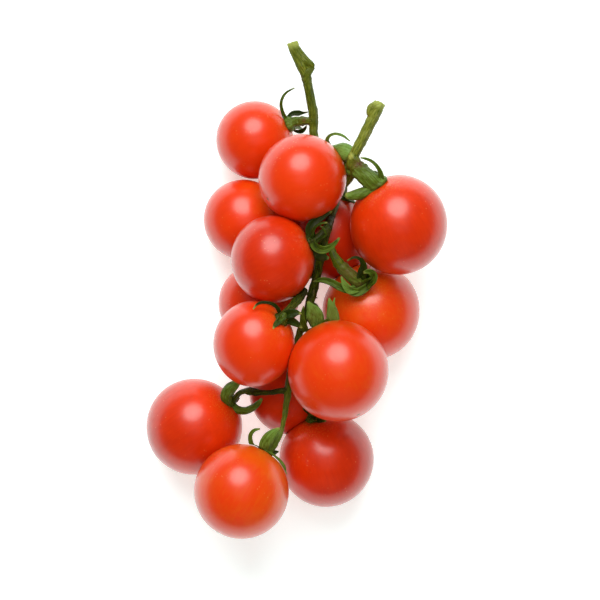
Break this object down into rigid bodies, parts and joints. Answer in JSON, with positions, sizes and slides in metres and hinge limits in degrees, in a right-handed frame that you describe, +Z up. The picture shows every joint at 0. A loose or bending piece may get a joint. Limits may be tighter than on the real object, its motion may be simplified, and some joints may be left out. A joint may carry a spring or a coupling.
{
  "type": "truss of tomatoes",
  "caption": "Bunch of ripe round cherry tomatoes on its branching green stem, lying on a flat surface in two layers.",
  "frame": {"origin": "middle of the underside, on the surface that the lower layer of fruit lies on", "axes": "+Z up from the surface, +Y along the bunch towards the two cut stalk ends, +X across it to the right"},
  "size_m": [0.1096, 0.1794, 0.0633],
  "materials": {
    "skin": "glossy waxy red-orange tomato skin, slightly see-through",
    "stem": "matt green stalk with fine hairs",
    "calyx": "matt leafy green with fine hairs"
  },
  "bodies": {
    "root": {"stem": "stem", "calyx_01": "calyx", "calyx_02": "calyx", "calyx_03": "calyx", "calyx_04": "calyx", "calyx_05": "calyx", "calyx_06": "calyx", "calyx_07": "calyx", "calyx_08": "calyx", "calyx_09": "calyx", "calyx_10": "calyx", "calyx_11": "calyx", "calyx_12": "calyx", "calyx_13": "calyx", "calyx_14": "calyx", "tomato_01": "skin", "tomato_02": "skin", "tomato_03": "skin", "tomato_04": "skin", "tomato_05": "skin", "tomato_06": "skin", "tomato_07": "skin", "tomato_08": "skin", "tomato_09": "skin", "tomato_10": "skin", "tomato_11": "skin", "tomato_12": "skin", "tomato_13": "skin", "tomato_14": "skin"}
  },
  "joints": []
}
